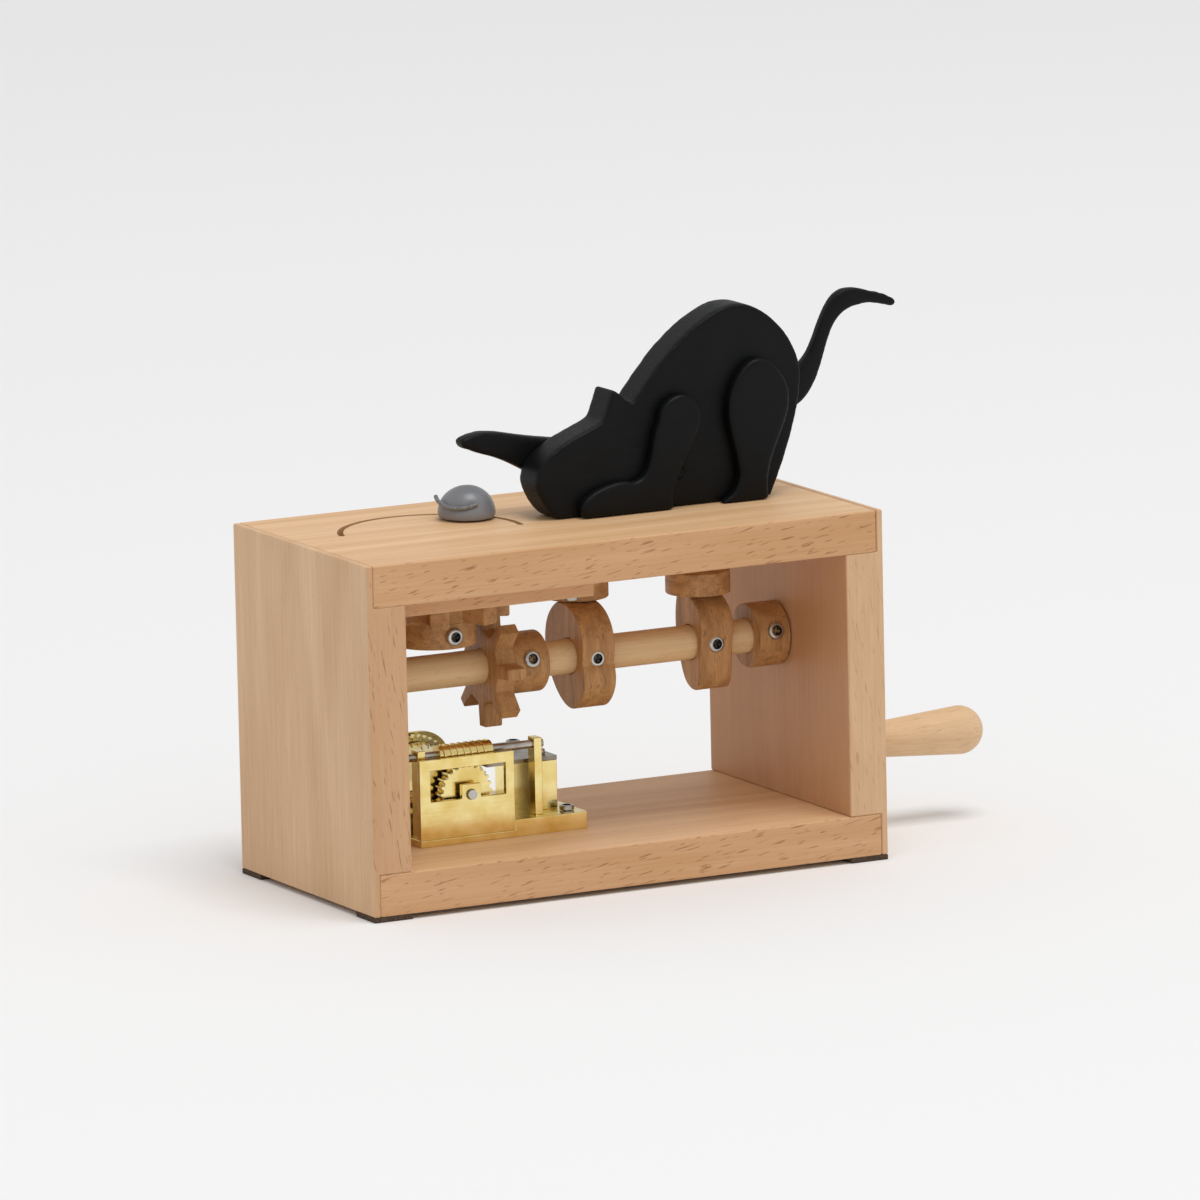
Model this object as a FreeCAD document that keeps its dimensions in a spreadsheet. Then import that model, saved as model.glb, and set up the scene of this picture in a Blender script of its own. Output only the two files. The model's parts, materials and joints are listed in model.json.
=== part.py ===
import FreeCAD, Part
import math
import os

from FreeCAD import Placement, Rotation, Vector

# Hand-cranked cat-and-mouse music box. Millimetres, +Z up. The origin lies on the table, under the
# middle of the whole length from the left panel to the end of the crank handle.

SIZES = {
    # case
    "box_length": 164, "box_depth": 85, "box_height": 100, "board": 12, "lip": 2,
    "foot_side": 12, "foot_height": 1.5,
    # clearances: turning or sliding fits, seats within one piece of work, free sides
    "running_gap": 0.1, "seat_gap": 0.05, "side_gap": 0.3,
    # camshaft and what sits on it, places along X from the case's left face
    "shaft_radius": 5, "shaft_seat": 6, "star_x": 56.3, "star_thick": 6, "star_tip": 17.5, "star_root": 11,
    "valley": 0.3, "star_hub_radius": 11.3, "star_hub_length": 12, "paw_cam_x": 84.5, "tail_cam_x": 123.4,
    "cam_thick": 10.4, "collar_radius": 11.9, "collar_thick": 10,
    "screw_radius": 1.2, "screw_head_radius": 2, "screw_head": 1.5,
    # crank
    "crank_reach": 54, "crank_gap": 2, "crank_thick": 10, "crank_width": 15, "crank_length": 35,
    "handle_radius": 7.1, "handle_neck": 4.6, "handle_pin_radius": 2, "handle_pin_head": 1.4,
    # mouse drive
    "mouse_x": 42, "mouse_path": 26, "mouse_angle": 34.5, "slot_from": -12, "slot_to": 165, "slot_width": 1.8,
    "tray_x_end": 76.5, "tray_depth": 65, "tray_thick": 5.5, "tray_floor": 1.8, "arm_thick": 3,
    "arm_width": 6,
    "axle_radius": 3, "axle_seat": 5, "mouse_gear_gap": 2, "mouse_gear_thick": 5.5, "mouse_gear_tip": 21.5,
    "mouse_gear_root": 13.2, "mouse_hub_radius": 12, "mouse_hub_length": 7.5, "mesh_depth": 1.8,
    "mouse_pin_radius": 0.7, "mouse_length": 17, "mouse_height": 9.5, "mouse_girth": 8, "mouse_inset": 5.5,
    "mouse_tail_radius": 0.6, "arm_boss": 2,
    # followers: lift of each cam at rest and its fall in millimetres per radian of crank
    "paw_lift": 15, "paw_fall": 3.8, "tail_lift": 14.2, "tail_fall": 3.9,
    "disc_radius": 9.35, "disc_thick": 6.7, "paw_rod_x": 92, "paw_rod_radius": 2.5,
    "tail_rod_x": 126.6, "tail_rod_radius": 2,
    # cat, heights from the top board's upper face
    "body_thick": 12, "leg_thick": 4, "paw_thick": 5.5, "tail_thick": 4,
    "paw_pivot_x": 118, "paw_pivot_z": 10, "paw_pin_radius": 1.75, "paw_heel": 4.5,
    "tail_pivot_x": 104.6, "tail_pivot_z": 21, "tail_pin_radius": 1.5, "tail_heel": 5, "dowel_radius": 2.5,
    # musical movement, places along X from the case's left face and heights from the base board
    "bed_x": 29, "bed_length": 53, "bed_front": -14.5, "bed_depth": 42, "bed_thick": 2, "flange_x": 59,
    "flange_thick": 5, "plate_thick": 1.5, "plate_width": 30, "plate_height": 25, "window_width": 24,
    "window_height": 9, "cylinder_x": 45.3, "cylinder_height": 13.9, "cylinder_radius": 9.5,
    "cylinder_length": 25.5, "cylinder_front": -6, "music_pin": 0.7, "arbor_radius": 1.4,
    "worm_y": -9.5, "worm_height": 25.3, "worm_radius": 2.6, "worm_length": 16.5, "worm_shaft_radius": 1.2,
    "worm_wheel_tip": 8.2, "worm_wheel_thick": 4, "great_wheel_tip": 11.4, "great_wheel_thick": 2,
    "spur_x": 14.5, "spur_thick": 4, "bracket_x": 67, "bracket_thick": 2.5, "bracket_width": 4,
    "worm_end_gap": 1.5, "worm_overhang": 1, "lug_width": 6, "lug_height": 5, "music_pin_thick": 0.5,
    "bed_screw_end": 4, "bed_screw_side": 5,
    "comb_height": 19.2, "comb_thick": 1.2, "comb_tip_x": 54.6, "comb_end_x": 77, "comb_tooth_gap": 0.4,
    "comb_post_x": 70,
}
CRANK_STROKE = (-12, 97)   # degrees of crank over which the cams follow their rise, with a little to spare
STAR_TEETH = 8
SPUR_TEETH = (32, 16)      # camshaft gear, worm pinion
WORM_WHEEL_TEETH = 24
GREAT_WHEEL_TEETH = 36
COMB_TEETH = 18
PINS_PER_ROW = 2
UP = Vector(0, 0, 1)
ALONG_X = Vector(1, 0, 0)
ALONG_Y = Vector(0, 1, 0)
TO_FRONT = Vector(0, -1, 0)

doc = FreeCAD.newDocument("cat_and_mouse_music_box")
sheet = doc.addObject("Spreadsheet::Sheet", "dims")
for row, (alias, value) in enumerate(SIZES.items(), 1):
    sheet.set(f"A{row}", alias)
    sheet.set(f"B{row}", str(value))
    sheet.setAlias(f"B{row}", alias)
doc.recompute()
parts = []


def size(alias):
    return float(getattr(sheet, alias))


# Places and heights that follow from the driving dimensions
left_face = -(size("box_length") + size("crank_reach")) / 2
top_under = size("box_height") - size("board")
tray_under = top_under - size("tray_thick")
gear_top = tray_under - size("mouse_gear_gap")
gear_under = gear_top - size("mouse_gear_thick")
shaft_z = gear_under + size("mesh_depth") - size("star_tip")
shaft_end = size("box_length") + size("crank_gap") + size("crank_thick")
base_top = size("board")
cylinder_z = base_top + size("cylinder_height")
worm_z = base_top + size("worm_height")
body_far = size("body_thick") / 2
paw_y = body_far + size("side_gap") + size("paw_thick") / 2


def at(x, y, z):
    """A point from its distance to the left panel's outer face, to mid depth and to the case's underside."""
    return Vector(left_face + x, y, size("foot_height") + z)


def bind(feature, **expressions):
    for name, expression in expressions.items():
        feature.setExpression(name, expression)
    return feature


def box(name, length, width, height, corner):
    solid = bind(doc.addObject("Part::Box", name), Length=length, Width=width, Height=height)
    solid.Placement = Placement(corner, Rotation())
    return solid


def rod(name, radius, height, start, axis=UP):
    solid = bind(doc.addObject("Part::Cylinder", name), Radius=radius, Height=height)
    solid.Placement = Placement(start, Rotation(UP, axis))
    return solid


def joined(name, pieces):
    solid = doc.addObject("Part::MultiFuse", name)
    solid.Shapes = pieces
    return solid


def grouped(name, pieces):
    group = doc.addObject("Part::Compound", name)
    group.Links = pieces
    return group


def cut(name, base, tools):
    solid = doc.addObject("Part::Cut", name)
    solid.Base = base
    solid.Tool = tools[0] if len(tools) == 1 else joined(name + "_cutters", tools)
    return solid


def keep(label, feature):
    feature.Label = label
    parts.append(feature)
    return feature


# Outline edges in a sketch's own plane
def line(start, end):
    return Part.LineSegment(Vector(*start, 0), Vector(*end, 0))


def arc(start, middle, end):
    return Part.Arc(Vector(*start, 0), Vector(*middle, 0), Vector(*end, 0))


def curve(*points):
    spline = Part.BSplineCurve()
    spline.interpolate([Vector(*point, 0) for point in points])
    return spline


def loop(points):
    return [line(points[index - 1], points[index]) for index in range(len(points))]


def polar(radius, degrees):
    return (radius * math.cos(math.radians(degrees)), radius * math.sin(math.radians(degrees)))


def toothed(teeth, root, tip, root_half, tip_half, phase=0, valley=0):
    """Outline of a toothed wheel with straight flanks and, where a valley depth is given, round valleys."""
    pitch = 360 / teeth
    edges = []
    for tooth in range(teeth):
        mid = phase + pitch * tooth
        foot, toe = polar(root, mid - root_half), polar(tip, mid - tip_half)
        heel_toe, heel = polar(tip, mid + tip_half), polar(root, mid + root_half)
        next_foot = polar(root, mid + pitch - root_half)
        edges += [line(foot, toe), line(toe, heel_toe), line(heel_toe, heel)]
        if valley:
            edges.append(arc(heel, polar(root - valley, mid + pitch / 2), next_foot))
        else:
            edges.append(line(heel, next_foot))
    return edges


def stadium(radius, length):
    """Outline of a bar with round ends, from the origin along the sketch's first axis."""
    return [line((0, -radius), (length, -radius)),
            arc((length, -radius), (length + radius, 0), (length, radius)),
            line((length, radius), (0, radius)),
            arc((0, radius), (-radius, 0), (0, -radius))]


def sketched(body, plane, outline):
    sketch = body.newObject("Sketcher::SketchObject", body.Name + "_outline")
    origin_plane = next(item for item in body.Origin.OriginFeatures if item.Role == plane)
    sketch.AttachmentSupport = (origin_plane, [""])
    sketch.MapMode = "FlatFace"
    sketch.addGeometry(outline)
    return sketch


def extruded(name, plane, outline, thickness, corner, turn=Rotation()):
    """A padded outline: towards +Z from XY_Plane, +X from YZ_Plane and the front from XZ_Plane."""
    body = doc.addObject("PartDesign::Body", name)
    sketch = sketched(body, plane, outline)
    pad = body.newObject("PartDesign::Pad", name + "_pad")
    pad.Profile = sketch
    bind(pad, Length=thickness)
    body.Placement = Placement(corner, turn)
    return body


def turned(name, outline, corner, turn=Rotation(), angle=360):
    """A piece turned about its sketch's first axis, which runs along X."""
    body = doc.addObject("PartDesign::Body", name)
    sketch = sketched(body, "XY_Plane", outline)
    revolution = body.newObject("PartDesign::Revolution", name + "_turning")
    revolution.Profile = sketch
    revolution.ReferenceAxis = (sketch, ["H_Axis"])
    revolution.Angle = angle
    body.Placement = Placement(corner, turn)
    return body


def screw(name, seat, axis, shank):
    """A pan-head screw whose head sits on the seat and whose shank runs back along the axis."""
    head = rod(name + "_head", "dims.screw_head_radius", "dims.screw_head", seat, axis)
    stem = rod(name + "_stem", "dims.screw_radius", str(shank), seat, axis.negative())
    return joined(name, [head, stem])


def screw_hole(name, seat, axis, shank):
    return rod(name, "dims.screw_radius + dims.seat_gap", str(shank), seat, axis.negative())


def shaft_hole(name, x, length):
    return rod(name, "dims.shaft_radius + dims.seat_gap", length, at(x, 0, shaft_z), ALONG_X)


# Case: side panels with rabbets that lap the ends of the top and bottom boards
def side_panel_outline():
    lip, board, height = size("lip"), size("board"), size("box_height")
    return [(0, 0), (lip, 0), (lip, board), (board, board), (board, height - board), (lip, height - board),
            (lip, height), (0, height)]


def make_case():
    back = size("box_depth") / 2
    length, depth, board = size("box_length"), size("box_depth"), size("board")
    left = extruded("left_panel_blank", "XZ_Plane", loop(side_panel_outline()), "dims.box_depth",
                    at(0, back, 0))
    left_hole = rod("left_bearing", "dims.shaft_radius + dims.running_gap", "dims.shaft_seat + dims.side_gap",
                    at(board - size("shaft_seat") - size("side_gap"), 0, shaft_z), ALONG_X)
    keep("left_panel", cut("left_panel", left, [left_hole]))
    mirrored = [(length - x, z) for x, z in side_panel_outline()]
    right = extruded("right_panel_blank", "XZ_Plane", loop(mirrored), "dims.box_depth", at(0, back, 0))
    right_hole = rod("right_bearing", "dims.shaft_radius + dims.running_gap", "dims.board",
                     at(length - board, 0, shaft_z), ALONG_X)
    keep("right_panel", cut("right_panel", right, [right_hole]))
    between = "dims.box_length - 2 * dims.lip"
    keep("base_board", box("base_board", between, "dims.box_depth", "dims.board", at(size("lip"), -back, 0)))
    blank = box("top_board_blank", between, "dims.box_depth", "dims.board", at(size("lip"), -back, top_under))
    keep("top_board", cut("top_board", blank, top_board_cutters()))
    side = size("foot_side")
    pads = [box(f"foot_{x:.0f}_{y:.0f}", "dims.foot_side", "dims.foot_side", "dims.foot_height",
                at(x, y, -size("foot_height")))
            for x in (0, length - side) for y in (-depth / 2, depth / 2 - side)]
    keep("feet", grouped("feet", pads))


def top_board_cutters():
    path, half = size("mouse_path"), size("slot_width") / 2
    first, last = size("slot_from"), size("slot_to")
    middle = (first + last) / 2
    centre_first, centre_last = polar(path, first), polar(path, last)
    end_first = polar(half, first - 90)
    end_last = polar(half, last + 90)
    round_first = (centre_first[0] + end_first[0], centre_first[1] + end_first[1])
    round_last = (centre_last[0] + end_last[0], centre_last[1] + end_last[1])
    outline = [arc(polar(path + half, first), polar(path + half, middle), polar(path + half, last)),
               arc(polar(path + half, last), round_last, polar(path - half, last)),
               arc(polar(path - half, last), polar(path - half, middle), polar(path - half, first)),
               arc(polar(path - half, first), round_first, polar(path + half, first))]
    slot = extruded("mouse_slot", "XY_Plane", outline, "dims.board", at(size("mouse_x"), 0, top_under))
    axle = rod("axle_seat_hole", "dims.axle_radius + dims.running_gap", "dims.axle_seat + dims.side_gap",
               at(size("mouse_x"), 0, top_under))
    paw = rod("paw_rod_hole", "dims.paw_rod_radius + dims.running_gap", "dims.board",
              at(size("paw_rod_x"), paw_y, top_under))
    tail = rod("tail_rod_hole", "dims.tail_rod_radius + dims.running_gap", "dims.board",
               at(size("tail_rod_x"), 0, top_under))
    return [slot, axle, paw, tail] + dowel_holes("top_dowel_hole") + tray_screw_holes("top_tray_hole")


# Tray under the top board: the mouse's arm swings in its round pocket
TRAY_CORNER_INSET = 5


def tray_screw_places():
    front = size("tray_depth") / 2 - TRAY_CORNER_INSET
    for x in (size("board") + TRAY_CORNER_INSET, size("tray_x_end") - TRAY_CORNER_INSET):
        for y in (-front, front):
            yield at(x, y, tray_under)


def tray_screw_holes(name):
    shank = size("tray_thick") + size("axle_seat")
    return [screw_hole(f"{name}_{index}", place, UP.negative(), shank)
            for index, place in enumerate(tray_screw_places())]


def make_tray():
    corner = at(size("board"), -size("tray_depth") / 2, tray_under)
    plate = box("tray_plate", "dims.tray_x_end - dims.board", "dims.tray_depth", "dims.tray_thick", corner)
    pocket = rod("tray_pocket", "dims.mouse_path + dims.arm_width / 2 + dims.side_gap",
                 "dims.tray_thick - dims.tray_floor", at(size("mouse_x"), 0, tray_under + size("tray_floor")))
    bearing = rod("tray_bearing", "dims.axle_radius + dims.running_gap", "dims.tray_floor",
                  at(size("mouse_x"), 0, tray_under))
    keep("mouse_tray", cut("mouse_tray", plate, [pocket, bearing] + tray_screw_holes("tray_hole")))
    shank = size("tray_thick") + size("axle_seat") - size("side_gap")
    screws = [screw(f"tray_screw_{index}", place, UP.negative(), shank)
              for index, place in enumerate(tray_screw_places())]
    keep("tray_screws", grouped("tray_screws", screws))


# Camshaft, with star gear, two cams and collar, each held by a screw from the front
def follower_arc(lift, fall):
    """Cam edge under a flat follower that falls evenly as the crank turns: points (towards back, up)."""
    first, last = CRANK_STROKE
    points = []
    steps = 8
    for step in range(steps + 1):
        angle = math.radians(first + (last - first) * step / steps)
        height = lift - fall * angle
        points.append((fall * math.cos(angle) - height * math.sin(angle),
                       fall * math.sin(angle) + height * math.cos(angle)))
    return points


def screwed_on(label, blank, x, length, seat_y, screw_x):
    """Bores a blank for the shaft, its screw and the sunk head, and returns the screw."""
    seat = at(screw_x, -seat_y, shaft_z)
    shank = seat_y - size("shaft_radius") - size("seat_gap")
    bore = shaft_hole(label + "_bore", x, length)
    hole = screw_hole(label + "_screw_hole", seat, TO_FRONT, shank)
    sink = rod(label + "_screw_sink", "dims.screw_head_radius + dims.seat_gap", "2 * dims.screw_head",
               seat, TO_FRONT)
    keep(label, cut(label, blank, [bore, hole, sink]))
    return screw(label + "_screw", seat, TO_FRONT, shank)


def make_camshaft():
    start = size("board") - size("shaft_seat")
    keep("camshaft", rod("camshaft", "dims.shaft_radius", str(shaft_end - start), at(start, 0, shaft_z),
                         ALONG_X))
    screws = []
    star_x, star_thick = size("star_x"), size("star_thick")
    outline = toothed(STAR_TEETH, size("star_root"), size("star_tip"), 11, 5, 90, size("valley"))
    star = extruded("star_teeth", "YZ_Plane", outline, "dims.star_thick", at(star_x, 0, shaft_z))
    hub = rod("star_hub", "dims.star_hub_radius", "dims.star_hub_length",
              at(star_x + star_thick, 0, shaft_z), ALONG_X)
    screws.append(screwed_on("star_gear", joined("star_blank", [star, hub]), star_x,
                             "dims.star_thick + dims.star_hub_length", size("star_hub_radius"),
                             star_x + star_thick + size("star_hub_length") / 2))
    rise = follower_arc(size("paw_lift"), size("paw_fall"))
    paw_flat = (-8.4, -1.8)   # end of the cam's flat front, where its screw goes in
    paw_seat = -paw_flat[0] - size("screw_head") - size("running_gap")
    paw_edge = [curve(*rise), line(rise[-1], paw_flat),
                curve(paw_flat, (-9.5, -6.8), (-2.7, -14.8), (10.4, -8.5), (14.6, 4.8), rise[0])]
    paw = extruded("paw_cam_blank", "YZ_Plane", paw_edge, "dims.cam_thick", at(size("paw_cam_x"), 0, shaft_z))
    screws.append(screwed_on("paw_cam", paw, size("paw_cam_x"), "dims.cam_thick", paw_seat,
                             size("paw_cam_x") + size("cam_thick") / 2))
    rise = follower_arc(size("tail_lift"), size("tail_fall"))
    tail_edge = [curve(*rise),
                 curve(rise[-1], (-6.6, -6), (-3.6, -13.4), (1.5, -12.6), (5.6, -6.7), (8.4, 4.8), rise[0])]
    tail_seat = -rise[-1][0] - 1.3 * size("screw_head")
    tail = extruded("tail_cam_blank", "YZ_Plane", tail_edge, "dims.cam_thick",
                    at(size("tail_cam_x"), 0, shaft_z))
    screws.append(screwed_on("tail_cam", tail, size("tail_cam_x"), "dims.cam_thick", tail_seat,
                             size("tail_cam_x") + size("cam_thick") / 2))
    collar_x = size("box_length") - size("board") - size("side_gap") - size("collar_thick")
    collar = rod("collar_blank", "dims.collar_radius", "dims.collar_thick", at(collar_x, 0, shaft_z), ALONG_X)
    screws.append(screwed_on("stop_collar", collar, collar_x, "dims.collar_thick", size("collar_radius"),
                             collar_x + size("collar_thick") / 2))
    keep("set_screws", grouped("set_screws", screws))


def make_crank():
    inner = size("box_length") + size("crank_gap")
    pin_z = shaft_z - size("crank_length")
    half, length = size("crank_width") / 2, size("crank_length")
    outline = [line((half, 0), (half, -length)), arc((half, -length), (0, -length - half), (-half, -length)),
               line((-half, -length), (-half, 0)), arc((-half, 0), (0, half), (half, 0))]
    arm = extruded("crank_blank", "YZ_Plane", outline, "dims.crank_thick", at(inner, 0, shaft_z))
    pin_hole = rod("crank_pin_hole", "dims.handle_pin_radius + dims.running_gap", "dims.crank_thick",
                   at(inner, 0, pin_z), ALONG_X)
    keep("crank_arm", cut("crank_arm", arm, [shaft_hole("crank_bore", inner, "dims.crank_thick"), pin_hole]))
    start = shaft_end + size("side_gap")
    end = size("box_length") + size("crank_reach")
    grip, neck, pin = size("handle_radius"), size("handle_neck"), size("handle_pin_radius")
    swell = end - grip
    bend = grip * math.sqrt(0.5)
    profile = [line((start, 0), (start, neck)), line((start, neck), (swell, grip)),
               arc((swell, grip), (swell + bend, bend), (end, 0)), line((end, 0), (start, 0))]
    blank = turned("handle_blank", profile, at(0, 0, pin_z))
    bore_length = 0.6 * (end - start)
    bore = rod("handle_bore", "dims.handle_pin_radius + dims.seat_gap", str(bore_length), at(start, 0, pin_z),
               ALONG_X)
    keep("handle", cut("handle", blank, [bore]))
    head_x = inner - size("handle_pin_head") - size("running_gap")
    shank = rod("handle_pin_shank", "dims.handle_pin_radius",
                str(start + bore_length - size("side_gap") - head_x), at(head_x, 0, pin_z), ALONG_X)
    head = rod("handle_pin_head", "2 * dims.handle_pin_radius", "dims.handle_pin_head", at(head_x, 0, pin_z),
               ALONG_X)
    keep("handle_pin", joined("handle_pin", [head, shank]))


# Mouse drive: the star gear turns a flat gear, whose axle carries the arm and the mouse
def make_mouse_drive():
    x, path, angle = size("mouse_x"), size("mouse_path"), size("mouse_angle")
    hub_under = gear_under - size("mouse_hub_length")
    pitch = 360 / STAR_TEETH
    outline = toothed(STAR_TEETH, size("mouse_gear_root"), size("mouse_gear_tip"), 12, 7.5, pitch / 2,
                      size("valley"))
    teeth = extruded("mouse_teeth", "XY_Plane", outline, "dims.mouse_gear_thick", at(x, 0, gear_under))
    hub = rod("mouse_hub", "dims.mouse_hub_radius", "dims.mouse_hub_length", at(x, 0, hub_under))
    bore = rod("mouse_gear_bore", "dims.axle_radius + dims.seat_gap",
               "dims.mouse_hub_length + dims.mouse_gear_thick", at(x, 0, hub_under))
    seat = at(x, -size("mouse_hub_radius"), hub_under + size("mouse_hub_length") / 2)
    shank = size("mouse_hub_radius") - size("axle_radius") - size("seat_gap")
    hole = screw_hole("mouse_gear_screw_hole", seat, TO_FRONT, shank)
    keep("mouse_gear", cut("mouse_gear", joined("mouse_gear_blank", [teeth, hub]), [bore, hole]))
    keep("mouse_gear_screw", screw("mouse_gear_screw", seat, TO_FRONT, shank))
    axle_end = top_under + size("axle_seat")
    keep("mouse_axle", rod("mouse_axle", "dims.axle_radius", str(axle_end - hub_under), at(x, 0, hub_under)))
    heading = Rotation(UP, angle)
    arm_z = tray_under + size("tray_floor") + size("side_gap")
    arm = extruded("arm_blank", "XY_Plane", stadium(size("arm_width") / 2, path), "dims.arm_thick",
                   at(x, 0, arm_z), heading)
    boss = rod("arm_boss", "dims.axle_radius + dims.arm_boss", "dims.arm_thick", at(x, 0, arm_z))
    along = polar(path, angle)
    pin_foot = at(x + along[0], along[1], arm_z)
    axle_hole = rod("arm_axle_hole", "dims.axle_radius + dims.seat_gap", "dims.arm_thick", at(x, 0, arm_z))
    pin_hole = rod("arm_pin_hole", "dims.mouse_pin_radius + dims.seat_gap", "dims.arm_thick", pin_foot)
    keep("mouse_arm", cut("mouse_arm", joined("arm_whole", [arm, boss]), [axle_hole, pin_hole]))
    pin_top = size("box_height") + 0.3 * size("mouse_height")
    keep("mouse_pin", rod("mouse_pin", "dims.mouse_pin_radius", str(pin_top - arm_z), pin_foot))
    make_mouse(angle, pin_top)


def make_mouse(angle, pin_top):
    """An egg, cut flat underneath, that heads along its path on a pin near its flank, and its thong tail."""
    length, height, girth = size("mouse_length"), size("mouse_height"), size("mouse_girth")
    tail_end, nose = -length / 2, length / 2
    widest = tail_end + girth
    bend = girth * math.sqrt(0.5)
    taper = Part.ArcOfEllipse(Part.Ellipse(Vector(widest, 0, 0), nose - widest, girth), 0, math.pi / 2)
    edge = [arc((tail_end, 0), (widest - bend, bend), (widest, girth)), taper, line((nose, 0), (tail_end, 0))]
    under = size("box_height") + size("side_gap")
    pin_along = polar(size("mouse_path"), angle)
    pin_foot = at(size("mouse_x") + pin_along[0], pin_along[1], under)
    along = polar(size("mouse_path") - size("mouse_inset"), angle)
    centre = at(size("mouse_x") + along[0], along[1], under)
    middle = centre + Vector(0, 0, height - girth)
    tangent = Rotation(UP, 90 + angle)
    egg = turned("mouse_egg", edge, middle, tangent)
    below = box("mouse_below", "3 * dims.mouse_length", "3 * dims.mouse_length", "2 * dims.mouse_height",
                centre - Vector(1.5 * length, 1.5 * length, 2 * height))
    socket = rod("mouse_socket", "dims.mouse_pin_radius + dims.seat_gap",
                 str(pin_top + size("side_gap") - under), pin_foot)
    thong = mouse_thong("mouse_tail", centre, tangent, size("mouse_tail_radius"))
    groove = mouse_thong("mouse_tail_groove", centre, tangent, size("mouse_tail_radius") + size("seat_gap"))
    keep("mouse", cut("mouse", egg, [below, socket, groove]))
    keep("mouse_tail", thong)


def mouse_thong(name, centre, tangent, radius):
    """A round thong on an arc: from the mouse's tail end, round its near flank and free past its nose."""
    length, girth = size("mouse_length"), size("mouse_girth")
    places = ((-0.35 * length, 0.58 * girth, 0.62 * girth), (0.03 * length, 0.97 * girth, 0.49 * girth),
              (0.41 * length, 0.65 * girth, 0.82 * girth))
    bow = Part.Arc(*[centre + tangent.multVec(Vector(*place)) for place in places]).toShape()
    circle = bow.Curve
    ring = Rotation(circle.Axis, bow.valueAt(bow.FirstParameter) - circle.Center, Vector(), "XYZ")
    swing = math.degrees(bow.LastParameter - bow.FirstParameter)
    outline = [Part.Circle(Vector(0, circle.Radius, 0), UP, radius)]
    return turned(name, outline, circle.Center, ring, swing)


# Followers: a disc on its cam and a push rod through the top board
def make_follower(name, x, y, radius, lift, rod_top):
    under = shaft_z + lift + size("running_gap")
    disc = rod(name + "_disc", "dims.disc_radius", "dims.disc_thick", at(x, y, under))
    seat = size("disc_thick") / 2
    hole = rod(name + "_disc_hole", f"dims.{radius} + dims.seat_gap", "dims.disc_thick / 2",
               at(x, y, under + seat))
    keep(name + "_follower", cut(name + "_follower", disc, [hole]))
    bar = turned_rod(name + "_push_rod", size(radius), rod_top - under - seat)
    bar.Placement = Placement(at(x, y, under + seat), Rotation(ALONG_X, UP))
    keep(name + "_push_rod", bar)


def turned_rod(name, radius, length):
    """A rod with a round top, turned about the sketch's first axis."""
    straight = length - radius
    bend = radius * math.sqrt(0.5)
    profile = [line((0, 0), (0, radius)), line((0, radius), (straight, radius)),
               arc((straight, radius), (straight + bend, bend), (length, 0)), line((length, 0), (0, 0))]
    return turned(name, profile, Vector())


def make_followers():
    paw_arm = size("paw_pivot_x") - size("paw_rod_x")
    paw_contact = (size("box_height") + size("paw_pivot_z") - size("paw_heel")
                   + paw_arm * heel_slope("paw_fall", paw_arm))
    make_follower("paw", size("paw_rod_x"), paw_y, "paw_rod_radius", size("paw_lift"),
                  paw_contact - size("side_gap"))
    tail_arm = size("tail_rod_x") - size("tail_pivot_x")
    tail_contact = (size("box_height") + size("tail_pivot_z") - size("tail_heel")
                    + tail_arm * heel_slope("tail_fall", tail_arm))
    make_follower("tail", size("tail_rod_x"), 0, "tail_rod_radius", size("tail_lift"),
                  tail_contact - size("side_gap"))


def heel_slope(fall, arm):
    """Slope of a lever's heel at rest, so that it lies level in the middle of its swing."""
    middle = math.radians(sum(CRANK_STROKE) / 2)
    return math.tan(middle * size(fall) / arm)


# Cat: a thick body, thin legs glued to its sides, a paw and a tail on pins
def cat_body_outline():
    return [curve((147.8, 0), (150.5, 6), (157.2, 25.9), (158.2, 36), (149.4, 51.6), (138, 56.8),
                  (127.7, 53.6), (114.1, 42.9), (103.8, 30.8)),
            line((103.8, 30.8), (98, 36)), line((98, 36), (94.8, 27.2)),
            curve((94.8, 27.2), (82, 21.6), (73.2, 13.2), (73, 9.8)),
            curve((73, 9.8), (75.4, 4.4), (79.5, 0)), line((79.5, 0), (147.8, 0))]


def foreleg_outline():
    return [curve((110.6, 25.3), (114.2, 32), (119.1, 33), (123.6, 29.6), (120.7, 17), (115.2, 0)),
            line((115.2, 0), (86.5, 0)), curve((86.5, 0), (85, 3.4), (88.7, 7.2), (101, 9.2)),
            curve((101, 9.2), (105.1, 10.6), (107.9, 17.3), (110.6, 25.3))]


def hind_leg_outline():
    return [curve((145.7, 0), (147.6, 14.3), (152.1, 32.4), (143, 41.2), (133.2, 30.5), (134.7, 15.6),
                  (136.1, 8.1)),
            curve((136.1, 8.1), (134.6, 4), (128.6, 0)), line((128.6, 0), (145.7, 0))]


DOWEL_PLACES = (100, 140)
DOWEL_LENGTH = 14


def dowel_foot(x):
    return at(x, 0, size("box_height") - DOWEL_LENGTH / 2)


def dowel_holes(name):
    return [rod(f"{name}_{x}", "dims.dowel_radius + dims.seat_gap", str(DOWEL_LENGTH), dowel_foot(x))
            for x in DOWEL_PLACES]


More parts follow.
